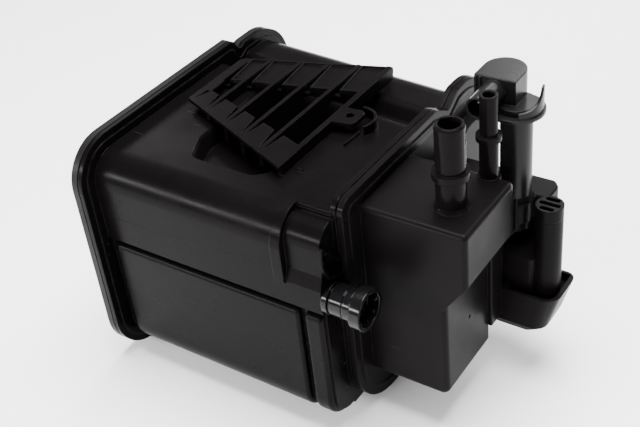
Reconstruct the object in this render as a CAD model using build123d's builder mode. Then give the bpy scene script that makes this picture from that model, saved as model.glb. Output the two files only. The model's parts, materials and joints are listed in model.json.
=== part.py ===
from build123d import *
import math
import os

# Charcoal canister of a vehicle's vapour system, in millimetres.
# Long axis along X, ports and valve at +X, mounting bracket on top, resting on
# the two weld rims at z = 0. The origin is the centre of the footprint.

# Placement of the construction frame (its zero is the large port's mouth).
X0, Y0, Z0 = 85.0, -38.8, 193.5

# Driving dimensions
wall = 2.8
body_x0, body_x1 = -204.0, -49.0      # moulded shell, rim end to flange end
end_wall_x = -52.0                    # inner face of the shell's flange end
rim_x0, rim_split, rim_x1 = -212.0, -207.5, -204.0
fl_x0, fl_split, fl_x1 = -49.0, -45.5, -42.0
rest_z = -193.5                       # level the rims rest on
port_r, port_bore = 7.91, 5.9         # large quick-connect port
port2_r, port2_bore = 4.85, 3.3       # small quick-connect port
port2_x, port2_y, port2_z = 5.4, 31.8, 0.4
fit_y, fit_z = -46.5, -94.0           # near-side fitting axis
bed_x0, bed_x1 = -176.0, -56.0        # charcoal beds
valve_x, valve_y = 6.9, 62.0          # vent valve axis
vent_x, vent_y = 30.0, 56.0           # vent tube axis
valve_travel = 2.5

os.makedirs("parts", exist_ok=True)


def px(v):
    return v + X0


def q(points):
    # points of a section across X, given as (y, z) in the construction frame
    return [(y + Y0, z + Z0) for y, z in points]


def p(points):
    # points of a section seen from above, given as (x, y)
    return [(x + X0, y + Y0) for x, y in points]


def at_x(x):
    return Plane.YZ.offset(x + X0)


def at_z(z):
    return Plane.XY.offset(z + Z0)


def corner(sketch, u, v):
    # the sketch corner nearest to a point of the drawing plane
    return min(sketch.vertices(), key=lambda w: (w.X - u) ** 2 + (w.Y - v) ** 2)


def section(points, radii, plane):
    # closed outline with a radius at every corner
    with BuildSketch(plane) as s:
        with BuildLine():
            Polyline(*points, close=True)
        make_face()
        for (u, v), r in zip(points, radii):
            if r > 0:
                fillet(corner(s, u, v), r)
    return s.sketch


def corners_yz(points, radii, x):
    return section(q(points), radii, at_x(x))


def corners_xy(points, radii, z):
    return section(p(points), radii, at_z(z))


def mix(a, b, x):
    # section between the rim end and the flange end of the tapering shell
    t = (x - body_x0) / (body_x1 - body_x0)
    return [(ya + (yb - ya) * t, za + (zb - za) * t) for (ya, za), (yb, zb) in zip(a, b)]


outer_a = [(-54.5, -47), (72, -47), (87, -61), (97, -51), (133, -51), (133, -185), (-54.5, -185)]
outer_b = [(-54.5, -47), (55, -47), (70, -61), (79, -52), (121, -52), (121, -185), (-54.5, -185)]
outer_r = [18, 11, 4, 8, 23, 17, 17]
main_a = [(-48.8, -49.8), (71, -49.8), (84, -62), (84, -180.5), (-48.8, -180.5)]
main_b = [(-48.8, -49.8), (54, -49.8), (67, -62), (67, -180.5), (-48.8, -180.5)]
main_r = [15, 8, 5, 5, 14]
rear_a = [(87, -66), (98.3, -53.8), (130.2, -53.8), (130.2, -182.2), (87, -182.2)]
rear_b = [(70, -66), (80.3, -54.8), (118.2, -54.8), (118.2, -182.2), (70, -182.2)]
rear_r = [4, 6, 20, 14, 5]

rim = [(-64.4, -37.6), (85.5, -37.6), (91.5, -46.5), (97, -44), (142, -44), (142, rest_z), (-64.4, rest_z)]
rim_r = [27, 5, 3, 4, 31, 30, 30]
flange = [(-38, -37.7), (63, -37.7), (76, -45), (88, -37.7), (129, -37.7), (129, rest_z), (-38, rest_z)]
flange_r = [8, 12, 4, 10, 32, 30, 39]
# openings through the flange into the two chambers
gate_main = [(-31, -53), (53, -53), (65, -64), (65, -182), (-31, -182)]
gate_main_r = [6, 8, 5, 5, 36]
gate_rear = [(72, -66), (80.5, -56), (117, -56), (117, -182), (72, -182)]
gate_rear_r = [4, 6, 18, 12, 5]


def inset(points, d):
    # shrink a convex-ish section towards its inside by d on the straight sides
    n = len(points)
    out = []
    area = sum(points[i][0] * points[(i + 1) % n][1] - points[(i + 1) % n][0] * points[i][1] for i in range(n))
    s = 1 if area > 0 else -1
    for i in range(n):
        (x0, y0), (x1, y1), (x2, y2) = points[i - 1], points[i], points[(i + 1) % n]
        ax, ay = x1 - x0, y1 - y0
        bx, by = x2 - x1, y2 - y1
        la, lb = math.hypot(ax, ay), math.hypot(bx, by)
        nax, nay = -ay / la * s, ax / la * s
        nbx, nby = -by / lb * s, bx / lb * s
        k = d / (1 + nax * nbx + nay * nby)
        out.append((x1 + k * (nax + nbx), y1 + k * (nay + nby)))
    return out


# ---------------------------------------------------------------- main shell
plate_z = -40.0                       # top face of the mounting bracket
rib_x = (-168.3, -149.2, -131.6, -113.2, -94.5)


def edge_y(x, near=True):
    # near or far edge of the wedge-shaped bracket plate at x
    t = (x + 187.0) / 94.5
    return 17.7 - 38.9 * t if near else 73.4 + 28.0 * t


with BuildPart() as shell:
    add(corners_yz(outer_a, outer_r, body_x0))
    add(corners_yz(outer_b, outer_r, body_x1))
    loft(ruled=True)
    # outer rim for the end cover, with its weld ridge and joint groove
    extrude(corners_yz(inset(rim, 0.9), rim_r, rim_split), amount=1.0)
    extrude(corners_yz(rim, rim_r, rim_split + 0.9), amount=rim_x1 - rim_split - 0.9)
    extrude(corners_yz(inset(rim, 4.5), [22, 4, 2, 3, 27, 26, 26], rim_x1 - 0.3), amount=1.1)
    # flange for the port cover, with its joint groove
    extrude(corners_yz(flange, flange_r, fl_x0 - 0.5), amount=fl_split - fl_x0 - 0.4)
    extrude(corners_yz(inset(flange, 0.9), flange_r, fl_split - 1.0), amount=1.0)
    # boss inside the near wall that carries the side fitting
    extrude(corners_yz([(-54.2, -106), (-36, -106), (-36, -82), (-54.2, -82)], [0, 3, 3, 0], -62), amount=13)
    # webs on the shell's end beside the flange, round a small pocket
    extrude(corners_yz([(-53.4, -56.0), (-31.0, -80.5), (-39.6, -85.4), (-48.9, -80.4), (-54.2, -69)], [1, 0, 1.5, 3, 1], -49.6), amount=3.6)
    extrude(corners_yz([(-52.4, -59.6), (-34.6, -80.0), (-39.5, -83.4), (-47.8, -79.0), (-52.6, -68.6)], [0.5, 0.5, 1, 2, 0.5], -48.9), amount=5, mode=Mode.SUBTRACT)

with BuildPart() as body_cut:
    # the two chambers
    add(corners_yz(mix(main_a, main_b, -209), main_r, -209))
    add(corners_yz(mix(main_a, main_b, end_wall_x), main_r, end_wall_x))
    loft(ruled=True)
    add(corners_yz(mix(rear_a, rear_b, -209), rear_r, -209))
    add(corners_yz(mix(rear_a, rear_b, end_wall_x), rear_r, end_wall_x))
    loft(ruled=True)
    extrude(corners_yz(gate_main, gate_main_r, end_wall_x - 1), amount=10)
    extrude(corners_yz(gate_rear, gate_rear_r, end_wall_x - 1), amount=10)
    # way round between the chambers at the end cover
    extrude(corners_yz([(78, -150), (95, -150), (95, -85), (78, -85)], [0, 0, 0, 0], -209), amount=18)

tub = [(-160, -6), (-152, -24.5), (-108, -24.5), (-96, -10), (-96, 58), (-160, 58)]
tub_r = [9, 9, 10, 7, 6, 8]
with BuildPart() as tub_cut:
    # shallow basin in the shell's top below the bracket, soft at its upper edge
    add(corners_xy(inset(tub, -1.5), tub_r, -46.4))
    add(corners_xy(inset(tub, 0.6), tub_r, -48.6))
    loft(ruled=True)
    add(corners_xy(inset(tub, 0.6), tub_r, -48.6))
    add(corners_xy(inset(tub, 3.5), [6, 6, 7, 5, 4, 6], -56.5))
    loft(ruled=True)

with BuildPart() as fine_cut:
    # inset lower wall: a groove round the raised panels
    lower = [(-60, -101.4), (-51.6, -101.4), (-51.6, -183.0), (-34, -183.0), (-34, -190), (-60, -190)]
    extrude(corners_yz(lower, [0, 0, 15.0, 0, 0, 0], -203.4), amount=154.6)
    # recessed band round the upper near corner, inside the C-shaped holder, with a sloping foot
    extrude(corners_yz([(-62, -38), (-37.8, -38), (-37.8, -49.4), (-51.7, -49.4), (-51.7, -77.8), (-54.6, -86.2), (-62, -90)], [0, 0, 0.8, 12.8, 0.5, 0, 0], -71.4), amount=23.4)
    # hole in the tab
    with BuildSketch(at_z(-46)):
        with Locations(*p([(-86.5, 41.2)])):
            Circle(2.6)
    extrude(amount=9)
    # bore of the side fitting
    with BuildSketch(at_x(-66)):
        with Locations(*q([(fit_y, fit_z)])):
            Circle(6.6)
    extrude(amount=20)

with BuildPart() as panels:
    # raised panels on the lower near wall, running round the lower corner
    skin = [(-55.6, -104.0), (-55.6, -184.6), (-37.5, -184.6), (-37.5, -181.5), (-50.5, -181.5), (-50.5, -104.0)]
    extrude(corners_yz(skin, [3.4, 17.5, 0, 0, 12.5, 0], -198.5), amount=133.5)
    extrude(corners_yz(skin, [3.4, 17.5, 0, 0, 12.5, 0], -61.5), amount=11.5)
    fillet(panels.edges().filter_by(Axis.Z).filter_by(lambda e: e.center().Y < -53.5 + Y0), 2.4)

with BuildPart() as webs:
    # ribs and walls that carry the bracket; they reach deeper inside the basin only
    for x in rib_x:
        half = 1.25 if x < -96 else 1.7
        extrude(corners_xy([(x - half, edge_y(x) + 2.0), (x + half, edge_y(x) + 2.0), (x + half, edge_y(x, False) - 0.6), (x - half, edge_y(x, False) - 0.6)], [0, 0, 0, 0], plate_z - 18.0), amount=18.0)
    extrude(corners_xy([(-184, 22.5), (-181.5, 22.5), (-181.5, 69.0), (-184, 69.0)], [0, 0, 0, 0], plate_z - 18.0), amount=16.0)
    extrude(corners_xy([(-183, 45.0), (-92.8, 68.0), (-92.8, 71.0), (-183, 48.0)], [0, 0, 0, 0], plate_z - 18.0), amount=16.0)
    extrude(corners_xy([(-183, 24.0), (-92.8, -1.0), (-92.8, 1.6), (-183, 26.6)], [0, 0, 0, 0], plate_z - 18.0), amount=16.0)
    with BuildPart(mode=Mode.PRIVATE) as below:
        extrude(corners_xy([(-200, -80), (-40, -80), (-40, 130), (-200, 130)], [0, 0, 0, 0], -62), amount=13.8)
        extrude(corners_xy([(-161, -25.5), (-95, -25.5), (-95, 59), (-161, 59)], [9, 9, 7, 9], -63), amount=16, mode=Mode.SUBTRACT)
    add(below.part, mode=Mode.SUBTRACT)

with BuildPart() as lip:
    # raised lip of the C-shaped holder, narrower towards its top
    extrude(corners_yz([(-33.6, -45.0), (-56.0, -45.0), (-56.0, -87), (-52.6, -87), (-52.6, -48.4), (-33.6, -48.4)], [0.8, 20, 1.2, 0, 14.0, 0], -78.2), amount=7.5)
    extrude(corners_yz([(-37.2, -44.8), (-37.2, -48.4), (-33.6, -48.4), (-33.6, -44.8)], [1.2, 0, 0, 1.2], -78.2), amount=29)
    extrude(corners_xy([(-79, -60), (-77.6, -54), (-74.2, -37.0), (-74.2, -32), (-79, -32)], [0, 0, 0, 0, 0], -90), amount=50, mode=Mode.SUBTRACT)

with BuildPart() as body_housing:
    add(shell.part)
    add(lip.part)
    add(body_cut.part, mode=Mode.SUBTRACT)
    # walls of the basin below the bracket
    extrude(corners_xy([(-163.2, -27.7), (-92.8, -27.7), (-92.8, 61.2), (-163.2, 61.2)], [9, 9, 9, 9], -59.5), amount=11.5)
    # skin behind the recessed band
    extrude(corners_yz([(-50.5, -49.0), (-50.5, -84), (-47.6, -84), (-47.6, -53.0), (-30, -53.0), (-30, -49.0)], [13.5, 0, 0, 11, 0, 0], -73.5), amount=22.5)
    # boss round the fitting's bore, inside the chamber
    extrude(corners_yz([(-50, -106), (-36, -106), (-36, -82), (-50, -82)], [0, 3, 3, 0], -62), amount=11)
    add(tub_cut.part, mode=Mode.SUBTRACT)
    # bracket: near strip, far strip, left strip and ribs
    x_l, x_r = -187.0, -92.8
    extrude(corners_xy([(x_l, edge_y(x_l)), (x_r, edge_y(x_r)), (x_r, edge_y(x_r) + 22.5), (x_l, edge_y(x_l) + 16)], [1, 0.6, 0, 0], plate_z - 2.4), amount=2.4)
    extrude(corners_xy([(x_l, edge_y(x_l)), (x_l + 8, edge_y(x_l) + 3), (x_l + 6.5, edge_y(x_l, False)), (x_l, edge_y(x_l, False))], [1, 0, 0, 5], plate_z - 2.8), amount=2.8)
    extrude(corners_xy([(x_l + 6, 45), (x_r, 68), (x_r, edge_y(x_r, False)), (x_l + 6, edge_y(x_l + 6, False))], [0, 0, 0.6, 2], plate_z - 4.2), amount=3.0)
    add(webs.part)
    # tab, and the curved wall beside it
    extrude(corners_xy([(-95, 31), (-79.5, 33.5), (-79.5, 48), (-95, 48)], [0, 3, 3, 0], plate_z - 2.6), amount=2.6)
    with BuildSketch(at_z(-49)):
        with Locations(*p([(-84, 42)])):
            Circle(12.8)
            Circle(11.2, mode=Mode.SUBTRACT)
        with BuildLine():
            Polyline(*p([(-100, 60), (-86, 60), (-84, 42), (-71, 33), (-71, 26), (-100, 26)]), close=True)
        make_face(mode=Mode.SUBTRACT)
    extrude(amount=8.0)
    # low ridge on the top
    extrude(corners_xy([(-79.2, 21), (-77.8, 21), (-76.8, 36), (-78.2, 36)], [0.4, 0.4, 0, 0], -49), amount=3.6)
    # rims of the far strip's panels, with a wedge-shaped gap beside each rib
    for k, x in enumerate(rib_x):
        xa, xb = (-181.0 if k == 0 else rib_x[k - 1] + 1.2), x - 1.2
        n_a, n_b = 45.6 + (xa + 181) * 0.245, 45.6 + (xb + 181) * 0.245
        f_a, f_b = edge_y(xa, False) - 1.2, edge_y(xb, False) - 1.2
        extrude(corners_xy([(xa + 4.2, n_a + 0.8), (xa + 5.5, n_a + 0.8), (xa + 1.8, f_a), (xa + 0.5, f_a)], [0, 0, 0, 0], plate_z - 3.0), amount=3.0)
        extrude(corners_xy([(xa + 4.4, n_a + 0.8), (xb, n_b), (xb, n_b + 1.3), (xa + 4.4, n_a + 2.1)], [0, 0, 0, 0], plate_z - 3.0), amount=3.0)
        extrude(corners_xy([(xa + 0.5, f_a - 1.0), (xb, f_b - 1.0), (xb, f_b + 0.3), (xa + 0.5, f_a + 0.3)], [0, 0, 0, 0], plate_z - 3.0), amount=3.0)
        extrude(corners_xy([(xa + 0.2, n_a - 1.5), (xa + 4.0, n_a - 1.5), (xa + 0.2, f_a - 3.0)], [0, 0, 0], plate_z - 4.6), amount=6.0, mode=Mode.SUBTRACT)
    # notches of the near strip, one each side of a rib
    for x in rib_x[:4] + (-184.5,):
        y = edge_y(x)
        if x < -180:
            extrude(corners_xy([(x + 1.0, y + 3.0), (x + 4.8, y + 13.5), (x + 2.4, y + 13.5)], [0, 0, 0], plate_z - 3.0), amount=4, mode=Mode.SUBTRACT)
        else:
            extrude(corners_xy([(x - 1.4, y + 3.2), (x - 1.3, y + 24.0), (x - 4.8, y + 24.0)], [0, 0, 0], plate_z - 3.0), amount=4, mode=Mode.SUBTRACT)
            extrude(corners_xy([(x + 1.4, y + 3.2), (x + 4.8, y + 24.0), (x + 1.3, y + 24.0)], [0, 0, 0], plate_z - 3.0), amount=4, mode=Mode.SUBTRACT)
    # pads on the top beside the bracket
    extrude(corners_xy([(-91, -12), (-84.5, -12), (-84.5, -8.5), (-91, -8.5)], [1, 1, 1, 1], -49), amount=3.6, taper=18)
    extrude(corners_xy([(-82, -10.5), (-75.5, -10.5), (-75.5, -6), (-82, -6)], [1, 1, 1, 1], -49), amount=3.8, taper=18)
    add(fine_cut.part, mode=Mode.SUBTRACT)
    add(panels.part)
    with BuildSketch(at_x(-66)):
        with Locations(*q([(fit_y, fit_z)])):
            Circle(6.6)
    extrude(amount=20, mode=Mode.SUBTRACT)
    # scallop in the flange beside the side fitting
    with BuildSketch(at_x(-49.0)):
        with Locations(*q([(fit_y, fit_z)])):
            Circle(10.0)
    extrude(amount=8, mode=Mode.SUBTRACT)
body_housing.part.label = "body_housing"
export_step(body_housing.part, "parts/body_housing.step")

# ---------------------------------------------------------------- end cover
with BuildPart() as end_cover:
    extrude(corners_yz(rim, rim_r, rim_x0), amount=rim_split - rim_x0)
    # shallow panels between the outer face's stiffening ribs
    for ya, yb in ((-48, -14), (-10, 32), (36, 76), (98, 128)):
        for za, zb in ((-176, -122), (-118, -64)):
            with BuildSketch(at_x(rim_x0 - 1)):
                with BuildLine():
                    Polyline(*q([(ya, za), (yb, za), (yb, zb), (ya, zb)]), close=True)
                make_face()
            extrude(amount=2.6, mode=Mode.SUBTRACT)
    # spring seats inside
    for y, z in ((-15, -115), (45, -115), (106, -115)):
        with BuildSketch(at_x(rim_split)):
            with Locations(*q([(y, z)])):
                Circle(10.5)
                Circle(8.5, mode=Mode.SUBTRACT)
        extrude(amount=5)
end_cover.part.label = "end_cover"
export_step(end_cover.part, "parts/end_cover.step")

# ---------------------------------------------------------------- port cover
box_top, shoulder_z0, shoulder_z1, box_bottom = -49.5, -82.0, -100.0, -165.0
front_x, lower_x, near_y = 19.3, 6.6, -21.8

with BuildPart() as cover_outer:
    # upper and lower box as one side view, swept across Y
    with BuildSketch(Plane.XZ.offset(-(near_y + Y0))) as side:
        with BuildLine():
            Polyline(*[(x + X0, z + Z0) for x, z in [(fl_x1 - 0.5, box_top), (front_x, box_top), (front_x, shoulder_z0),
                       (lower_x, shoulder_z1), (lower_x, box_bottom), (fl_x1 - 0.5, box_bottom)]], close=True)
        make_face()
    extrude(amount=-(38.5 - near_y))
    fillet(cover_outer.edges().filter_by(Axis.Y).filter_by(lambda e: e.center().Z > box_top + Z0 - 1 and e.center().X > px(18)), 3)
    fillet(cover_outer.edges().filter_by(Axis.Y).filter_by(lambda e: e.center().Z < box_bottom + Z0 + 1 and e.center().X > px(6)), 5)
    fillet(cover_outer.edges().filter_by(Axis.X).filter_by(lambda e: e.center().Y < near_y + Y0 + 1), 3)
    fillet(cover_outer.edges().filter_by(Axis.X).filter_by(lambda e: e.center().Y > 38 + Y0 and e.center().Z > box_top + Z0 - 1), 9)
    # the lower box is narrower than the upper one
    with BuildSketch(at_z(box_bottom - 1)):
        with BuildLine():
            Polyline(*p([(fl_x1 - 1, 28), (12, 28), (12, 40), (fl_x1 - 1, 40)]), close=True)
        make_face()
    extrude(amount=shoulder_z1 - box_bottom + 1, mode=Mode.SUBTRACT)
    # lip round the far side of the upper box
    with BuildSketch(Plane.XZ.offset(-(34.5 + Y0))) as lip_side:
        with BuildLine():
            Polyline(*[(x + X0, z + Z0) for x, z in [(front_x - 4, -62), (front_x + 0.9, -62), (front_x + 0.9, shoulder_z0 - 0.3),
                       (lower_x + 1.2, shoulder_z1 - 1.0), (lower_x - 3, shoulder_z1 - 1.0), (front_x - 4, shoulder_z0)]], close=True)
        make_face()
    extrude(amount=-1.3)

with BuildPart() as cover_rear:
    # box behind, below the vent valve
    extrude(corners_xy([(fl_x1 - 0.5, 66), (24.8, 66), (24.8, 80.5), (21, 85), (fl_x1 - 0.5, 85)], [0, 2, 4, 3, 0], -112), amount=32)
    fillet(cover_rear.edges().filter_by(lambda e: abs(e.center().Z - (-80 + Z0)) < 0.1 and e.center().X > px(-41)), 1.6)
    # wall below the valve and the ledge it stands on
    extrude(corners_xy([(fl_x1 - 0.5, 41), (6.5, 41), (6.5, 67), (fl_x1 - 0.5, 67)], [0, 2, 0, 0], -134), amount=52)
    extrude(corners_xy([(fl_x1 - 0.5, 51.5), (17.5, 51.5), (17.5, 67), (fl_x1 - 0.5, 67)], [0, 7, 0, 0], -92), amount=12)
    # shelf
    extrude(corners_xy([(fl_x1 - 0.5, 46), (25.5, 46), (25.5, 80), (20, 87), (fl_x1 - 0.5, 87)], [0, 3, 3, 3, 0], -134), amount=24)

with BuildPart() as cover_mid:
    extrude(corners_xy([(fl_x1 - 0.5, 27), (9.2, 27), (9.2, 42), (fl_x1 - 0.5, 42)], [0, 1, 2.5, 0], -150), amount=66)

with BuildPart() as tray:
    add(corners_xy([(fl_x1 - 0.5, 42.5), (25, 42.5), (29.5, 47.5), (29.5, 70), (fl_x1 - 0.5, 70)], [0, 6, 6, 6, 0], -159.5))
    add(corners_xy([(fl_x1 - 0.5, 40), (32, 40), (35, 46), (35, 72), (fl_x1 - 0.5, 72)], [0, 7, 8, 6, 0], -154.5))
    add(corners_xy([(fl_x1 - 0.5, 40), (36, 40), (42, 46), (42, 71), (fl_x1 - 0.5, 71)], [0, 7, 8, 6, 0], -131.5))
    loft(ruled=True)
    # recessed floor of the tray
    with BuildSketch(at_z(-137)):
        with BuildLine():
            Polyline(*p([(12, 42.2), (36, 42.2), (39, 47), (39, 69), (12, 69)]), close=True)
        make_face()
    extrude(amount=6, mode=Mode.SUBTRACT)

with BuildPart() as cover_shape:
    extrude(corners_yz(flange, flange_r, fl_split), amount=fl_x1 - fl_split)
    # weld ridge standing on the flange face
    extrude(corners_yz(inset(flange, 5), [5, 9, 4, 8, 28, 26, 34], fl_x1 - 0.2), amount=1.0)
    extrude(corners_yz(inset(flange, 7), [4, 8, 4, 7, 26, 24, 32], fl_x1), amount=1.2, mode=Mode.SUBTRACT)
    add(cover_outer.part)
    add(cover_rear.part)
    add(cover_mid.part)
    add(tray.part)
    # plateau over the rear chamber
    extrude(corners_yz([(80, -60), (115, -60), (115, -170), (80, -170)], [8, 8, 8, 8], fl_x1 - 0.5), amount=8)
    # boss below the vent valve
    with BuildSketch(at_z(-100)):
        with Locations(*p([(valve_x, valve_y)])):
            Circle(8.6)
    extrude(amount=12)
    with BuildSketch(at_z(-81)):
        with Locations(*p([(valve_x, valve_y)])):
            Circle(10.4)
    extrude(amount=1.5)
    with BuildSketch(at_z(-79.5)):
        with Locations(*p([(valve_x, valve_y)])):
            Circle(10.4)
    extrude(amount=2.5, taper=25)
    # vent tube
    with BuildSketch(at_z(-138)):
        with Locations(*p([(vent_x, vent_y)])):
            Circle(7.9)
    extrude(amount=54.5)
    # large port: base flare, tube and stop bead
    with BuildSketch(at_z(-51)):
        with Locations(*p([(0, 0)])):
            Circle(10.6)
    extrude(amount=3.5, taper=35)
    with BuildSketch(at_z(-51)):
        with Locations(*p([(0, 0)])):
            Circle(8.2)
    extrude(amount=22)
    with BuildSketch(at_z(-31)):
        with Locations(*p([(0, 0)])):
            Circle(10.0)
    extrude(amount=4)
    with BuildSketch(at_z(-31)):
        with Locations(*p([(0, 0)])):
            Circle(port_r)
    extrude(amount=30)
    with BuildSketch(at_z(-1)):
        with Locations(*p([(0, 0)])):
            Circle(port_r)
    extrude(amount=1, taper=35)
    # small port
    with BuildSketch(at_z(-58)):
        with Locations(*p([(port2_x, port2_y)])):
            Circle(port2_r + 1.6)
    extrude(amount=9.5)
    with BuildSketch(at_z(-50)):
        with Locations(*p([(port2_x, port2_y)])):
            Circle(port2_r + 0.3)
    extrude(amount=26)
    with BuildSketch(at_z(-26)):
        with Locations(*p([(port2_x, port2_y)])):
            Circle(6.9)
    extrude(amount=3.2)
    with BuildSketch(at_z(-26)):
        with Locations(*p([(port2_x, port2_y)])):
            Circle(port2_r)
    extrude(amount=port2_z + 26)

with BuildPart() as cover_cut:
    # space inside the boxes, open to the main chamber
    with BuildSketch(Plane.XZ.offset(-(near_y + 2.6 + Y0))):
        with BuildLine():
            Polyline(*[(x + X0, z + Z0) for x, z in [(fl_split - 1, -53), (front_x - 2.8, -53), (front_x - 2.8, shoulder_z0 + 1),
                       (lower_x - 2.8, shoulder_z1 + 1), (lower_x - 2.8, box_bottom + 2.8), (fl_split - 1, box_bottom + 2.8)]], close=True)
        make_face()
    extrude(amount=-(25.4 - (near_y + 2.6)))
    # space behind, below the valve, open to the main chamber
    with BuildSketch(at_z(-131)):
        with BuildLine():
            Polyline(*p([(fl_split - 1, 69), (23, 69), (23, 71.5), (16.5, 82), (-30, 82), (-30, 75), (fl_split - 1, 75)]), close=True)
        make_face()
    extrude(amount=46)
    extrude(corners_xy([(fl_split - 1, 45), (3.6, 45), (3.6, 69.5), (fl_split - 1, 69.5)], [0, 2, 0, 0], -131), amount=43.5)
    # air way into the rear chamber
    with BuildSketch(at_x(fl_split - 1)):
        with Locations(*q([(79, -108)])):
            Rectangle(8, 30)
    extrude(amount=16)
    # bores of the two ports
    with BuildSketch(at_z(-60)):
        with Locations(*p([(0, 0)])):
            Circle(port_bore)
    extrude(amount=61)
    with BuildSketch(at_z(-60)):
        with Locations(*p([(port2_x, port2_y)])):
            Circle(port2_bore)
    extrude(amount=61)
    # way from the small port's bore into the upper box
    with BuildSketch(at_z(-64)):
        with BuildLine():
            Polyline(*p([(port2_x - 3.3, 24), (port2_x + 3.3, 24), (port2_x + 3.3, port2_y + 2.5), (port2_x - 3.3, port2_y + 2.5)]), close=True)
        make_face()
    extrude(amount=8)
    # valve seat bore down into the space behind
    with BuildSketch(at_z(-97)):
        with Locations(*p([(valve_x, valve_y)])):
            Circle(3.0)
    extrude(amount=30)
    with BuildSketch(at_x(valve_x - 3.0)):
        with BuildLine():
            Polyline(*q([(valve_y - 0.5, -96.5), (72, -96.5), (72, -91), (valve_y - 0.5, -91)]), close=True)
        make_face()
    extrude(amount=6)
    # bore of the vent tube and its way into the space behind
    with BuildSketch(at_z(-134)):
        with Locations(*p([(vent_x, vent_y)])):
            Circle(6.0)
    extrude(amount=52)
    # small blind hole on the lower front face
    with BuildSketch(at_x(lower_x - 1.2)):
        with Locations(*q([(5, -126)])):
            Circle(1.1)
    extrude(amount=3)

with BuildPart() as port_cover:
    add(cover_shape.part)
    add(cover_cut.part, mode=Mode.SUBTRACT)
    # duct from the vent tube back to the valve's space
    with BuildSketch(at_x(12)):
        with BuildLine():
            Polyline(*q([(52, -131), (67, -131), (67, -119), (52, -119)]), close=True)
        make_face()
    extrude(amount=12)
    with BuildSketch(at_x(14.5)):
        with BuildLine():
            Polyline(*q([(54.5, -128.5), (71, -128.5), (71, -121.5), (54.5, -121.5)]), close=True)
        make_face()
    extrude(amount=15, mode=Mode.SUBTRACT)
    # scallop in the flange beside the side fitting
    with BuildSketch(at_x(-47.0)):
        with Locations(*q([(fit_y, fit_z)])):
            Circle(10.0)
    extrude(amount=8, mode=Mode.SUBTRACT)
port_cover.part.label = "port_cover"
export_step(port_cover.part, "parts/port_cover.step")

# ---------------------------------------------------------------- side fitting
with BuildPart() as side_fitting:
    for x, length, r in ((-60.0, 8.0, 6.4), (-49.0, 3.2, 9.4), (-45.8, 1.4, 7.6), (-44.4, 7.4, 9.2),
                         (-37.0, 1.0, 8.6), (-36.0, 5.6, 9.6), (-30.4, 6.2, 12.1)):
        with BuildSketch(at_x(x)):
            with Locations(*q([(fit_y, fit_z)])):
                Circle(r)
        extrude(amount=length + (0.0 if x > -59 else 3.0))
    # seal groove, seat bore and through bore
    with BuildSketch(at_x(-57.5)):
        with Locations(*q([(fit_y, fit_z)])):
            Circle(7.0)
            Circle(5.1, mode=Mode.SUBTRACT)
    extrude(amount=2.2, mode=Mode.SUBTRACT)
    with BuildSketch(at_x(-31.9)):
        with Locations(*q([(fit_y, fit_z)])):
            Circle(9.5)
    extrude(amount=14, mode=Mode.SUBTRACT)
    with BuildSketch(at_x(-61)):
        with Locations(*q([(fit_y, fit_z)])):
            Circle(4.0)
    extrude(amount=30, mode=Mode.SUBTRACT)
    # ribs inside the mouth
    for a in range(0, 360, 45):
        with BuildSketch(at_x(-32.0)):
            with Locations((fit_y + Y0 + 9.0 * math.cos(math.radians(a)), fit_z + Z0 + 9.0 * math.sin(math.radians(a)))):
                Circle(0.9)
        extrude(amount=6)
side_fitting.part.label = "side_fitting"
export_step(side_fitting.part, "parts/side_fitting.step")

with BuildPart() as side_fitting_seal:
    with BuildSketch(at_x(-57.3)):
        with Locations(*q([(fit_y, fit_z)])):
            Circle(6.58)
            Circle(5.15, mode=Mode.SUBTRACT)
    extrude(amount=1.8)
side_fitting_seal.part.label = "side_fitting_seal"
export_step(side_fitting_seal.part, "parts/side_fitting_seal.step")

# ---------------------------------------------------------------- beds, pads, plates
def block(x_a, x_b, a, b, radii, gap=0.3):
    with BuildPart() as s:
        add(corners_yz(inset(mix(a, b, x_a), gap), radii, x_a))
        add(corners_yz(inset(mix(a, b, x_b), gap), radii, x_b))
        loft(ruled=True)
    return s


for tag, a, b, radii in (("main", main_a, main_b, main_r), ("rear", rear_a, rear_b, rear_r)):
    for name, x_a, x_b in (("front_pad", end_wall_x - 4.0, end_wall_x), ("charcoal", bed_x0, bed_x1), ("rear_pad", bed_x0 - 4.0, bed_x0)):
        with BuildPart() as fill:
            add(block(x_a, x_b, a, b, radii).part)
        if tag == "main":
            # clear of the basin's skin and of the fitting's boss
            with BuildPart() as fill2:
                add(fill.part)
                extrude(corners_yz([(-60, -80.5), (-35.0, -80.5), (-35.0, -107.5), (-60, -107.5)], [0, 3, 3, 0], -63.5), amount=20, mode=Mode.SUBTRACT)
                extrude(corners_yz([(-60, -40), (-29, -40), (-29, -54), (-46.6, -54), (-46.6, -85), (-60, -85)], [0, 0, 0, 9.5, 0, 0], -75), amount=30, mode=Mode.SUBTRACT)
                extrude(corners_xy([(-165, -29.5), (-91, -29.5), (-91, 75), (-165, 75)], [9, 9, 0, 0], -60.5), amount=14, mode=Mode.SUBTRACT)
            fill = fill2
        fill.part.label = name + "_" + tag
        export_step(fill.part, "parts/" + name + "_" + tag + ".step")
    with BuildPart() as plate:
        add(block(bed_x0 - 8.0, bed_x0 - 4.0, a, b, radii, 0.8).part)
        ys = range(-40, 80, 15) if tag == "main" else range(94, 124, 12)
        with BuildSketch(at_x(bed_x0 - 9.0)):
            for y in ys:
                for z in range(-172, -60, 16):
                    with Locations(*q([(y, z)])):
                        Circle(3.5)
        extrude(amount=6, mode=Mode.SUBTRACT)
    plate.part.label = "retainer_plate_" + tag
    export_step(plate.part, "parts/retainer_plate_" + tag + ".step")


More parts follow.
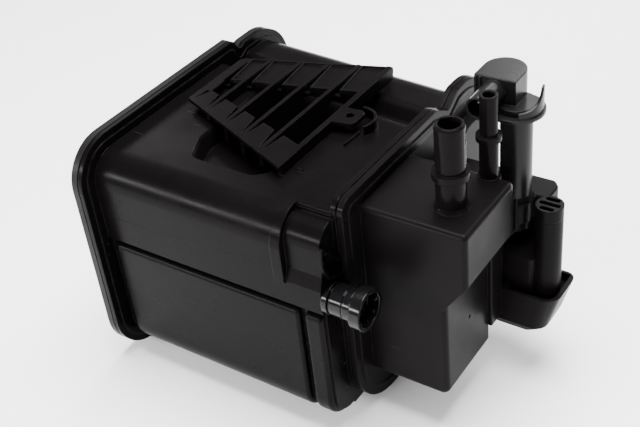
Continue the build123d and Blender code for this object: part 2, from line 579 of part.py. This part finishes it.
def spring(x_a, x_b, y, z, r, wire, turns):
    length = x_b - x_a - wire * 2
    path = Helix(pitch=length / turns, height=length, radius=r, direction=(1, 0, 0),
                 center=(x_a + wire + X0, y + Y0, z + Z0))
    start = path @ 0
    with BuildPart() as s:
        with BuildSketch(Plane(origin=start, z_dir=path % 0)):
            Circle(wire)
        sweep(path=path)
    return s


for tag, spots in (("main", ((-15, -115), (45, -115))), ("rear", ((106, -115),))):
    with BuildPart() as coils:
        for y, z in spots:
            add(spring(rim_split + 0.1, bed_x0 - 8.1, y, z, 12.4, 0.9, 4.5).part)
    coils.part.label = "retainer_spring_" + tag
    export_step(coils.part, "parts/retainer_spring_" + tag + ".step")

# ---------------------------------------------------------------- vent valve
vz = -77.0
with BuildPart() as valve_body:
    for z, length, r in ((vz, 56.8, 8.9), (-24.8, 2.0, 15.5)):
        with BuildSketch(at_z(z)):
            with Locations(*p([(valve_x, valve_y)])):
                Circle(r)
        extrude(amount=length)
    with BuildSketch(at_z(-68)):
        with Locations(*p([(valve_x, valve_y)])):
            Circle(7.6)
    extrude(amount=60, mode=Mode.SUBTRACT)
    with BuildSketch(at_z(-78)):
        with Locations(*p([(valve_x, valve_y)])):
            Circle(3.0)
    extrude(amount=12, mode=Mode.SUBTRACT)
    # seat ring round the orifice
    with BuildSketch(at_z(-68)):
        with Locations(*p([(valve_x, valve_y)])):
            Circle(4.2)
            Circle(3.0, mode=Mode.SUBTRACT)
    extrude(amount=1.0)
    # side windows to the open air
    for a in (80, 140):
        with BuildSketch(at_z(-66)):
            with Locations(*p([(valve_x + 8 * math.cos(math.radians(a)), valve_y + 8 * math.sin(math.radians(a)))])):
                Circle(2.2)
        extrude(amount=4, mode=Mode.SUBTRACT)
    # curved wall on the ring, rising in a hollow slope to a claw beside the head
    with BuildSketch(at_z(-23.2)):
        with Locations(*p([(valve_x, valve_y)])):
            Circle(14.4)
            Circle(13.0, mode=Mode.SUBTRACT)
        with BuildLine():
            Polyline(*p([(valve_x, valve_y)] + [(valve_x + 30 * math.cos(math.radians(24 + (298 - 24) * k / 6)),
                                                valve_y + 30 * math.sin(math.radians(24 + (298 - 24) * k / 6))) for k in range(7)]), close=True)
        make_face(mode=Mode.SUBTRACT)
    extrude(amount=14.0)
    slope = math.radians(10)
    with BuildSketch(Plane(origin=(valve_x + X0, valve_y + Y0, Z0 - 23.2), x_dir=(-math.sin(slope), math.cos(slope), 0), z_dir=(math.cos(slope), math.sin(slope), 0))):
        with Locations((-16.5, 21.2)):
            Circle(17.6)
    extrude(amount=20, mode=Mode.SUBTRACT)
valve_body.part.label = "valve_body"
export_step(valve_body.part, "parts/valve_body.step")

head_x, head_y, head_r = -3.6, 69.0, 12.1
with BuildPart() as valve_head:
    # cap, straight towards the near side and round behind
    with BuildSketch(at_z(-22.8)):
        with Locations(*p([(head_x, head_y)])):
            Circle(head_r)
        with BuildLine():
            Polyline(*p([(head_x - head_r, 57), (head_x + head_r, 57), (head_x + head_r, head_y), (head_x - head_r, head_y)]), close=True)
        make_face()
    extrude(amount=17.8)
    fillet(valve_head.edges().filter_by(lambda e: abs(e.center().Z - (-5 + Z0)) < 0.1), 0.8)
    # lid on the valve's tube
    with BuildSketch(at_z(-22.8)):
        with Locations(*p([(valve_x, valve_y)])):
            Circle(11.0)
    extrude(amount=3.4)
    # round base, cut to stand beside the valve's ring
    with BuildSketch(at_z(-25.0)):
        with Locations(*p([(head_x, head_y)])):
            Circle(head_r - 0.6)
        with Locations(*p([(valve_x, valve_y)])):
            Circle(15.8, mode=Mode.SUBTRACT)
    extrude(amount=3.0)
    # seat on the end of the valve's tube
    with BuildSketch(at_z(-23.0)):
        with Locations(*p([(valve_x, valve_y)])):
            Circle(8.98)
    extrude(amount=2.8, mode=Mode.SUBTRACT)
    # connector barrel pointing to the near side
    with BuildSketch(Plane.XZ.offset(-(37.0 + Y0))):
        with Locations((-4 + X0, -13.3 + Z0)):
            Circle(6.6)
    extrude(amount=-24)
    with BuildSketch(Plane.XZ.offset(-(36 + Y0))):
        with Locations((-4 + X0, -13.3 + Z0)):
            Circle(5.2)
    extrude(amount=-19, mode=Mode.SUBTRACT)
    # passages for the terminals
    for dx in (-1.8, 1.8):
        with BuildSketch(Plane.XZ.offset(-(50 + Y0))):
            with Locations((-4 + dx + X0, -13.3 + Z0)):
                Rectangle(1.3, 0.9)
        extrude(amount=-20, mode=Mode.SUBTRACT)
    # ribs on the left of the near face
    for dx in (-15.0, -12.6):
        with BuildSketch(at_z(-12.5)):
            with Locations(*p([(dx + 0.6, 56.6)])):
                Rectangle(1.2, 1.2)
        extrude(amount=6.5)
valve_head.part.label = "valve_head"
export_step(valve_head.part, "parts/valve_head.step")

with BuildPart() as valve_terminals:
    for dx in (-1.8, 1.8):
        with BuildSketch(Plane.XZ.offset(-(43 + Y0))):
            with Locations((-4 + dx + X0, -13.3 + Z0)):
                Rectangle(1.2, 0.8)
        extrude(amount=-26)
valve_terminals.part.label = "valve_terminals"
export_step(valve_terminals.part, "parts/valve_terminals.step")


def ring(z_a, z_b, r_out, r_in):
    with BuildPart() as s:
        with BuildSketch(at_z(z_a)):
            with Locations(*p([(valve_x, valve_y)])):
                Circle(r_out)
                if r_in > 0:
                    Circle(r_in, mode=Mode.SUBTRACT)
        extrude(amount=z_b - z_a)
    return s


with BuildPart() as valve_yoke:
    add(ring(-56, -20.4, 7.55, 6.75).part)
valve_yoke.part.label = "valve_yoke"
export_step(valve_yoke.part, "parts/valve_yoke.step")

with BuildPart() as valve_bobbin:
    add(ring(-56, -20.4, 3.35, 2.72).part)
    add(ring(-56, -54.8, 6.7, 2.72).part)
    add(ring(-21.6, -20.4, 6.7, 2.72).part)
valve_bobbin.part.label = "valve_bobbin"
export_step(valve_bobbin.part, "parts/valve_bobbin.step")

with BuildPart() as valve_coil:
    add(ring(-54.8, -21.6, 6.4, 3.35).part)
valve_coil.part.label = "valve_coil"
export_step(valve_coil.part, "parts/valve_coil.step")

with BuildPart() as valve_core:
    add(ring(-36, -20.4, 2.7, 0).part)
valve_core.part.label = "valve_core"
export_step(valve_core.part, "parts/valve_core.step")

with BuildPart() as valve_plunger:
    add(ring(-65, -47, 2.64, 0).part)
valve_plunger.part.label = "valve_plunger"
export_step(valve_plunger.part, "parts/valve_plunger.step")

with BuildPart() as valve_seal:
    add(ring(-66.9, -65, 5.0, 0).part)
valve_seal.part.label = "valve_seal"
export_step(valve_seal.part, "parts/valve_seal.step")

path = Helix(pitch=1.75, height=10.4, radius=1.95, direction=(0, 0, 1), center=(valve_x + X0, valve_y + Y0, -46.7 + Z0))
with BuildPart() as valve_spring:
    with BuildSketch(Plane(origin=path @ 0, z_dir=path % 0)):
        Circle(0.25)
    sweep(path=path)
valve_spring.part.label = "valve_spring"
export_step(valve_spring.part, "parts/valve_spring.step")

# ---------------------------------------------------------------- vent cap and filter
with BuildPart() as vent_cap:
    with BuildSketch(at_z(-83.4)):
        with Locations(*p([(vent_x, vent_y)])):
            Circle(7.9)
    extrude(amount=7.9)
    with BuildSketch(at_z(-90)):
        with Locations(*p([(vent_x, vent_y)])):
            Circle(5.9)
    extrude(amount=7)
    with BuildSketch(at_z(-91)):
        with Locations(*p([(vent_x, vent_y)])):
            Circle(4.7)
    extrude(amount=13, mode=Mode.SUBTRACT)
    # slots through the top
    for dy, length in ((-4.6, 8.5), (0, 12.5), (4.6, 8.5)):
        with BuildSketch(at_z(-79)):
            with Locations(*p([(vent_x, vent_y + dy)])):
                SlotOverall(length, 2.8)
        extrude(amount=5, mode=Mode.SUBTRACT)
vent_cap.part.label = "vent_cap"
export_step(vent_cap.part, "parts/vent_cap.step")

with BuildPart() as vent_filter:
    with BuildSketch(at_z(-112)):
        with Locations(*p([(vent_x, vent_y)])):
            Circle(5.8)
    extrude(amount=21.5)
vent_filter.part.label = "vent_filter"
export_step(vent_filter.part, "parts/vent_filter.step")
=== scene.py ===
import bpy, json, math
from mathutils import Vector, Matrix

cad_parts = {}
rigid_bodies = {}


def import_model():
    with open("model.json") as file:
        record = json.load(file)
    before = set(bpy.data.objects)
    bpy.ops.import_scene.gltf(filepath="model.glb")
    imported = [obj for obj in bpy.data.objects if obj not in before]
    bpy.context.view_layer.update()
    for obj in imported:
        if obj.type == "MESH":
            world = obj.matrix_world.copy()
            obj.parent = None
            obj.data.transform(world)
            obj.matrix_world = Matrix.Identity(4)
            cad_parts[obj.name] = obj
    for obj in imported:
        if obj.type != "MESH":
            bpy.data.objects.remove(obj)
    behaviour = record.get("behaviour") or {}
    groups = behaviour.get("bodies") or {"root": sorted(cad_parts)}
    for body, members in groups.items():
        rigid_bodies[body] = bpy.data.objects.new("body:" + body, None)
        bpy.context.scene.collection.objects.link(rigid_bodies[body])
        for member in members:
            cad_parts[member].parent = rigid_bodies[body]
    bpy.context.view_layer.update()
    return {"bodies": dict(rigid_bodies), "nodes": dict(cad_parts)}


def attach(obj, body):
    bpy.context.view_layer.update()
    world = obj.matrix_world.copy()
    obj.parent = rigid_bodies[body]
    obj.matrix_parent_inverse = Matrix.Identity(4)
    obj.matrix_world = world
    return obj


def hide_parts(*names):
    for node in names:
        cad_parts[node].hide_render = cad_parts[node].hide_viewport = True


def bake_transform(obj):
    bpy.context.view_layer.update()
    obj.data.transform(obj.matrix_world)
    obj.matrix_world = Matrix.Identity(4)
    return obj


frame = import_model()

# construction frame (zero at the large port's mouth, mm) to row frame (m)
X0, Y0, Z0 = 85.0, -38.8, 193.5


def P(x, y, z):
    return Vector(((x + X0) / 1000, (y + Y0) / 1000, (z + Z0) / 1000))


scene = bpy.context.scene
N = frame["nodes"]

# ------------------------------------------------------------------ materials
def nodes_of(mat):
    nt = mat.node_tree
    return nt.nodes, nt.links


def plastic(name, base, rough, spec=0.5, grain=0.25, grain_scale=900.0, wear=0.25, coat=0.0, gloss_above=None, edge=0.5):
    """Moulded plastic: fine moulding grain, slow gloss changes, faint scuffs."""
    mat = bpy.data.materials.new(name)
    mat.use_nodes = True
    n, l = nodes_of(mat)
    b = n["Principled BSDF"]
    b.inputs["Specular IOR Level"].default_value = spec
    b.inputs["Coat Weight"].default_value = coat
    b.inputs["Coat Roughness"].default_value = 0.12
    tc = n.new("ShaderNodeTexCoord")
    # slow colour drift and scuffs
    big = n.new("ShaderNodeTexNoise"); big.inputs["Scale"].default_value = 14.0; big.inputs["Detail"].default_value = 5.0
    l.new(tc.outputs["Object"], big.inputs["Vector"])
    ramp = n.new("ShaderNodeValToRGB")
    ramp.color_ramp.elements[0].position = 0.30
    ramp.color_ramp.elements[0].color = (base[0] * 0.82, base[1] * 0.82, base[2] * 0.82, 1)
    ramp.color_ramp.elements[1].position = 0.72
    ramp.color_ramp.elements[1].color = (base[0] * 1.18, base[1] * 1.18, base[2] * 1.18, 1)
    l.new(big.outputs["Fac"], ramp.inputs["Fac"])
    # scratches: stretched noise, thresholded
    mp = n.new("ShaderNodeMapping"); mp.inputs["Scale"].default_value = (35.0, 420.0, 300.0)
    mp.inputs["Rotation"].default_value = (0.3, 0.5, 0.35)
    l.new(tc.outputs["Object"], mp.inputs["Vector"])
    scr = n.new("ShaderNodeTexNoise"); scr.inputs["Scale"].default_value = 1.0; scr.inputs["Detail"].default_value = 2.0
    l.new(mp.outputs["Vector"], scr.inputs["Vector"])
    sr = n.new("ShaderNodeMapRange"); sr.inputs["From Min"].default_value = 0.70; sr.inputs["From Max"].default_value = 0.80
    l.new(scr.outputs["Fac"], sr.inputs["Value"])
    patch = n.new("ShaderNodeTexNoise"); patch.inputs["Scale"].default_value = 9.0; patch.inputs["Detail"].default_value = 3.0
    l.new(tc.outputs["Object"], patch.inputs["Vector"])
    pr = n.new("ShaderNodeMapRange"); pr.inputs["From Min"].default_value = 0.50; pr.inputs["From Max"].default_value = 0.68
    l.new(patch.outputs["Fac"], pr.inputs["Value"])
    mul = n.new("ShaderNodeMath"); mul.operation = "MULTIPLY"
    l.new(sr.outputs["Result"], mul.inputs[0]); l.new(pr.outputs["Result"], mul.inputs[1])
    amt = n.new("ShaderNodeMath"); amt.operation = "MULTIPLY"; amt.inputs[1].default_value = wear
    l.new(mul.outputs[0], amt.inputs[0])
    mix = n.new("ShaderNodeMix"); mix.data_type = "RGBA"
    mix.inputs["B"].default_value = (0.07, 0.07, 0.072, 1)
    l.new(amt.outputs[0], mix.inputs["Factor"])
    l.new(ramp.outputs["Color"], mix.inputs["A"])
    # roughness
    rn = n.new("ShaderNodeTexNoise"); rn.inputs["Scale"].default_value = 32.0; rn.inputs["Detail"].default_value = 6.0
    l.new(tc.outputs["Object"], rn.inputs["Vector"])
    rr = n.new("ShaderNodeMapRange")
    rr.inputs["From Min"].default_value = 0.3; rr.inputs["From Max"].default_value = 0.7
    rr.inputs["To Min"].default_value = rough - 0.07; rr.inputs["To Max"].default_value = rough + 0.07
    l.new(rn.outputs["Fac"], rr.inputs["Value"])
    add = n.new("ShaderNodeMath"); add.operation = "ADD"; add.use_clamp = True
    l.new(rr.outputs["Result"], add.inputs[0]); l.new(amt.outputs[0], add.inputs[1])
    if gloss_above is None:
        l.new(add.outputs[0], b.inputs["Roughness"])
    else:
        # the ports are moulded in polished cavities: smoother above a level
        sep = n.new("ShaderNodeSeparateXYZ"); l.new(tc.outputs["Object"], sep.inputs[0])
        up = n.new("ShaderNodeMapRange")
        up.inputs["From Min"].default_value = gloss_above[0] - 0.0004; up.inputs["From Max"].default_value = gloss_above[0] + 0.0004
        l.new(sep.outputs["Z"], up.inputs["Value"])
        low = n.new("ShaderNodeMath"); low.operation = "MULTIPLY"; low.inputs[1].default_value = gloss_above[1]
        l.new(up.outputs["Result"], low.inputs[0])
        sub = n.new("ShaderNodeMath"); sub.operation = "SUBTRACT"; sub.use_clamp = True
        l.new(add.outputs[0], sub.inputs[0]); l.new(low.outputs[0], sub.inputs[1])
        l.new(sub.outputs[0], b.inputs["Roughness"])
    # moulding grain and slight waviness of the skin
    g = n.new("ShaderNodeTexNoise"); g.inputs["Scale"].default_value = grain_scale; g.inputs["Detail"].default_value = 3.0
    l.new(tc.outputs["Object"], g.inputs["Vector"])
    w = n.new("ShaderNodeTexNoise"); w.inputs["Scale"].default_value = 22.0; w.inputs["Detail"].default_value = 1.0
    l.new(tc.outputs["Object"], w.inputs["Vector"])
    bw = n.new("ShaderNodeBump"); bw.inputs["Strength"].default_value = 0.16; bw.inputs["Distance"].default_value = 0.0012
    l.new(w.outputs["Fac"], bw.inputs["Height"])
    bg = n.new("ShaderNodeBump"); bg.inputs["Strength"].default_value = grain; bg.inputs["Distance"].default_value = 0.00012
    l.new(g.outputs["Fac"], bg.inputs["Height"]); l.new(bw.outputs["Normal"], bg.inputs["Normal"])
    bev = n.new("ShaderNodeBevel"); bev.inputs["Radius"].default_value = 0.0009; bev.samples = 4
    l.new(bev.outputs["Normal"], bw.inputs["Normal"])
    # edges rubbed a little paler, broken up by noise
    geo = n.new("ShaderNodeNewGeometry")
    dot = n.new("ShaderNodeVectorMath"); dot.operation = "DOT_PRODUCT"
    l.new(bev.outputs["Normal"], dot.inputs[0]); l.new(geo.outputs["Normal"], dot.inputs[1])
    er = n.new("ShaderNodeMapRange")
    er.inputs["From Min"].default_value = 0.97; er.inputs["From Max"].default_value = 0.80
    l.new(dot.outputs["Value"], er.inputs["Value"])
    eb = n.new("ShaderNodeTexNoise"); eb.inputs["Scale"].default_value = 160.0; eb.inputs["Detail"].default_value = 4.0
    l.new(tc.outputs["Object"], eb.inputs["Vector"])
    ebr = n.new("ShaderNodeMapRange"); ebr.inputs["From Min"].default_value = 0.42; ebr.inputs["From Max"].default_value = 0.66
    l.new(eb.outputs["Fac"], ebr.inputs["Value"])
    em = n.new("ShaderNodeMath"); em.operation = "MULTIPLY"; l.new(er.outputs["Result"], em.inputs[0]); l.new(ebr.outputs["Result"], em.inputs[1])
    ea = n.new("ShaderNodeMath"); ea.operation = "MULTIPLY"; ea.inputs[1].default_value = edge; l.new(em.outputs[0], ea.inputs[0])
    emix = n.new("ShaderNodeMix"); emix.data_type = "RGBA"
    emix.inputs["B"].default_value = (0.020, 0.020, 0.021, 1)
    l.new(ea.outputs[0], emix.inputs["Factor"]); l.new(mix.outputs["Result"], emix.inputs["A"])
    l.new(emix.outputs["Result"], b.inputs["Base Color"])
    l.new(bg.outputs["Normal"], b.inputs["Normal"])
    return mat


def metal(name, base, rough, metallic=1.0):
    mat = bpy.data.materials.new(name)
    mat.use_nodes = True
    n, l = nodes_of(mat)
    b = n["Principled BSDF"]
    b.inputs["Metallic"].default_value = metallic
    tc = n.new("ShaderNodeTexCoord")
    a = n.new("ShaderNodeTexNoise"); a.inputs["Scale"].default_value = 60.0; a.inputs["Detail"].default_value = 4.0
    l.new(tc.outputs["Object"], a.inputs["Vector"])
    r = n.new("ShaderNodeValToRGB")
    r.color_ramp.elements[0].color = (base[0] * 0.75, base[1] * 0.75, base[2] * 0.75, 1)
    r.color_ramp.elements[1].color = (base[0], base[1], base[2], 1)
    l.new(a.outputs["Fac"], r.inputs["Fac"]); l.new(r.outputs["Color"], b.inputs["Base Color"])
    m = n.new("ShaderNodeMapRange"); m.inputs["To Min"].default_value = rough - 0.08; m.inputs["To Max"].default_value = rough + 0.12
    l.new(a.outputs["Fac"], m.inputs["Value"]); l.new(m.outputs["Result"], b.inputs["Roughness"])
    return mat


def granules(name, base, scale, bump):
    mat = bpy.data.materials.new(name)
    mat.use_nodes = True
    n, l = nodes_of(mat)
    b = n["Principled BSDF"]; b.inputs["Roughness"].default_value = 0.9
    tc = n.new("ShaderNodeTexCoord")
    v = n.new("ShaderNodeTexVoronoi"); v.inputs["Scale"].default_value = scale
    l.new(tc.outputs["Object"], v.inputs["Vector"])
    r = n.new("ShaderNodeValToRGB")
    r.color_ramp.elements[0].color = (base[0] * 1.3, base[1] * 1.3, base[2] * 1.3, 1)
    r.color_ramp.elements[1].color = (base[0] * 0.6, base[1] * 0.6, base[2] * 0.6, 1)
    l.new(v.outputs["Distance"], r.inputs["Fac"]); l.new(r.outputs["Color"], b.inputs["Base Color"])
    bp = n.new("ShaderNodeBump"); bp.inputs["Strength"].default_value = bump; bp.inputs["Distance"].default_value = 0.001
    l.new(v.outputs["Distance"], bp.inputs["Height"]); l.new(bp.outputs["Normal"], b.inputs["Normal"])
    return mat


M = {
    "shell": plastic("shell_plastic", (0.0023, 0.0018, 0.0021), 0.26, spec=0.034, wear=0.75),
    "cover": plastic("cover_plastic", (0.0036, 0.0029, 0.0033), 0.34, spec=0.032, wear=0.4, gloss_above=((-49.0 + Z0) / 1000, 0.17)),
    "end": plastic("end_plastic", (0.0055, 0.0055, 0.0061), 0.44, spec=0.08, grain=0.4, wear=0.5),
    "fitting": plastic("fitting_plastic", (0.0026, 0.0026, 0.0029), 0.16, spec=0.17, grain=0.05, wear=0.2),
    "valve": plastic("valve_plastic", (0.0042, 0.0042, 0.0046), 0.30, spec=0.12, wear=0.25),
    "cap": plastic("cap_plastic", (0.0030, 0.0029, 0.0031), 0.31, spec=0.036, wear=0.2),
    "rubber": plastic("seal_rubber", (0.008, 0.008, 0.008), 0.62, spec=0.12, grain=0.5, wear=0.0),
    "natural": plastic("natural_plastic", (0.50, 0.49, 0.44), 0.45, wear=0.1),
    "steel": metal("spring_steel", (0.55, 0.55, 0.56), 0.28),
    "iron": metal("plated_iron", (0.45, 0.45, 0.45), 0.38),
    "copper": metal("winding_copper", (0.60, 0.26, 0.12), 0.35),
    "brass": metal("tinned_brass", (0.62, 0.58, 0.45), 0.30),
    "charcoal": granules("charcoal_granules", (0.012, 0.012, 0.012), 420.0, 0.9),
    "felt": granules("felt_pad", (0.30, 0.30, 0.29), 1400.0, 0.5),
    "foam": granules("filter_foam", (0.018, 0.018, 0.018), 1600.0, 0.8),
}
LOOK = {
    "body_housing": "shell", "end_cover": "end", "port_cover": "cover", "side_fitting": "fitting",
    "side_fitting_seal": "rubber", "front_pad_main": "felt", "rear_pad_main": "felt", "front_pad_rear": "felt",
    "rear_pad_rear": "felt", "charcoal_main": "charcoal", "charcoal_rear": "charcoal",
    "retainer_plate_main": "natural", "retainer_plate_rear": "natural", "retainer_spring_main": "steel",
    "retainer_spring_rear": "steel", "valve_body": "valve", "valve_head": "valve", "valve_terminals": "brass",
    "valve_yoke": "iron", "valve_bobbin": "natural", "valve_coil": "copper", "valve_core": "iron",
    "valve_plunger": "iron", "valve_seal": "rubber", "valve_spring": "steel", "vent_cap": "cap", "vent_filter": "foam",
}
for name, ob in N.items():
    mat = M[LOOK[name]]
    if not ob.material_slots:
        ob.data.materials.append(mat)
    for s in ob.material_slots:
        s.material = mat

# ------------------------------------------------------------------ moulding flash
def strip(name, points, width, height, normal, mat):
    """Thin rounded bead of flash along a polyline of frame points; it rides on the canister."""
    verts, faces = [], []
    pts = [P(*q) for q in points]
    up = Vector(normal).normalized()
    for k, c in enumerate(pts):
        d = (pts[min(k + 1, len(pts) - 1)] - pts[max(k - 1, 0)]).normalized()
        side = d.cross(up).normalized()
        for a in (-90, -45, 0, 45, 90):
            r = math.radians(a)
            verts.append(c + side * (math.sin(r) * width / 2000) + up * (math.cos(r) * height / 1000 - 0.00005))
    for k in range(len(pts) - 1):
        for a in range(4):
            i = k * 5 + a
            faces.append((i, i + 1, i + 6, i + 5))
    me = bpy.data.meshes.new(name)
    me.from_pydata(verts, [], faces)
    me.validate(); me.update()
    for f in me.polygons:
        f.use_smooth = True
    ob = bpy.data.objects.new(name, me)
    scene.collection.objects.link(ob)
    ob.data.materials.append(mat)
    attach(ob, BODY)
    return ob


BODY = [b for b in frame["bodies"] if "plunger" not in b][0]
near = [(x, -54.5, -84.3 + (x + 196) * 0.0425) for x in range(-196, -84, 8)]
strip("flash_near_wall", near, 0.5, 0.12, (0, -1, 0), M["shell"])

# ------------------------------------------------------------------ valve spring
def coil(name, centre, low, high, radius, wire, pitch, mat):
    """Compression spring as a round wire on a helix, with closed ends."""
    turns = (high - low) / pitch
    steps = int(turns * 28)
    verts, faces = [], []
    for k in range(steps + 1):
        a = 2 * math.pi * turns * k / steps
        c = P(centre[0] + radius * math.cos(a), centre[1] + radius * math.sin(a), low + (high - low) * k / steps)
        out = Vector((math.cos(a), math.sin(a), 0))
        along = Vector((-math.sin(a) * radius, math.cos(a) * radius, pitch / (2 * math.pi))).normalized()
        up = along.cross(out).normalized()
        for i in range(10):
            b = 2 * math.pi * i / 10
            verts.append(c + (out * math.cos(b) + up * math.sin(b)) * (wire / 1000))
    for k in range(steps):
        for i in range(10):
            j = (i + 1) % 10
            faces.append((k * 10 + i, k * 10 + j, k * 10 + 10 + j, k * 10 + 10 + i))
    faces.append(tuple(range(9, -1, -1)))
    faces.append(tuple(steps * 10 + i for i in range(10)))
    me = bpy.data.meshes.new(name)
    me.from_pydata(verts, [], faces)
    me.validate(); me.update()
    for f in me.polygons:
        f.use_smooth = len(f.vertices) == 4
    ob = bpy.data.objects.new(name, me)
    scene.collection.objects.link(ob)
    ob.data.materials.append(mat)
    return ob


VALVE = (6.9, 62.0)
spring = coil("valve_spring_wire", VALVE, -46.7, -36.3, 1.95, 0.25, 1.75, M["steel"])
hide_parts("valve_spring")
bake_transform(spring)

# ------------------------------------------------------------------ stage
def stage_material(name, colour, rough):
    mat = bpy.data.materials.new(name)
    mat.use_nodes = True
    b = mat.node_tree.nodes["Principled BSDF"]
    b.inputs["Base Color"].default_value = (*colour, 1)
    b.inputs["Roughness"].default_value = rough
    return mat


bpy.ops.mesh.primitive_plane_add(size=12.0, location=(0, 0, -0.0003))
floor = bpy.context.object
floor.name = "floor"
floor.data.materials.append(stage_material("floor_paper", (0.93, 0.93, 0.93), 0.7))

world = bpy.data.worlds.new("studio")
scene.world = world
world.use_nodes = True
bg = world.node_tree.nodes["Background"]
bg.inputs["Color"].default_value = (1, 1, 1, 1)
bg.inputs["Strength"].default_value = 0.50


def area(name, loc, target, size_x, size_y, energy):
    light = bpy.data.lights.new(name, "AREA")
    light.shape = "RECTANGLE"; light.size = size_x; light.size_y = size_y; light.energy = energy
    o = bpy.data.objects.new(name, light)
    scene.collection.objects.link(o)
    o.location = loc
    o.rotation_euler = (Vector(target) - Vector(loc)).to_track_quat("-Z", "Y").to_euler()
    return o


area("key_top", (0.02, 0.15, 1.5), (0, 0, 0.0), 1.0, 1.0, 96)
area("left_strip", (-0.60, -1.24, 0.52), (0, 0, 0.14), 1.8, 0.15, 44)
area("right_soft", (1.25, -0.25, 0.75), (0.05, 0, 0.1), 0.7, 0.9, 3)
area("back_left", (-1.32, 0.68, 0.98), (0, 0, 0.1), 0.8, 0.5, 4)
area("rear_soft", (0.1, 1.3, 0.9), (0, 0, 0.12), 1.2, 0.5, 20)

# ------------------------------------------------------------------ camera
cam_data = bpy.data.cameras.new("camera")
cam_data.sensor_width = 36.0
cam_data.lens = 61.12
cam_data.clip_start = 0.01
cam = bpy.data.objects.new("camera", cam_data)
scene.collection.objects.link(cam)
right = Vector((0.83116, 0.54800, -0.09413)); up = Vector((-0.25940, 0.53189, 0.80609)); back = Vector((0.49180, -0.64558, 0.58425))
loc = P(218.60, -398.16, 278.57)
cam.matrix_world = Matrix(((right.x, up.x, back.x, loc.x), (right.y, up.y, back.y, loc.y), (right.z, up.z, back.z, loc.z), (0, 0, 0, 1)))
scene.camera = cam
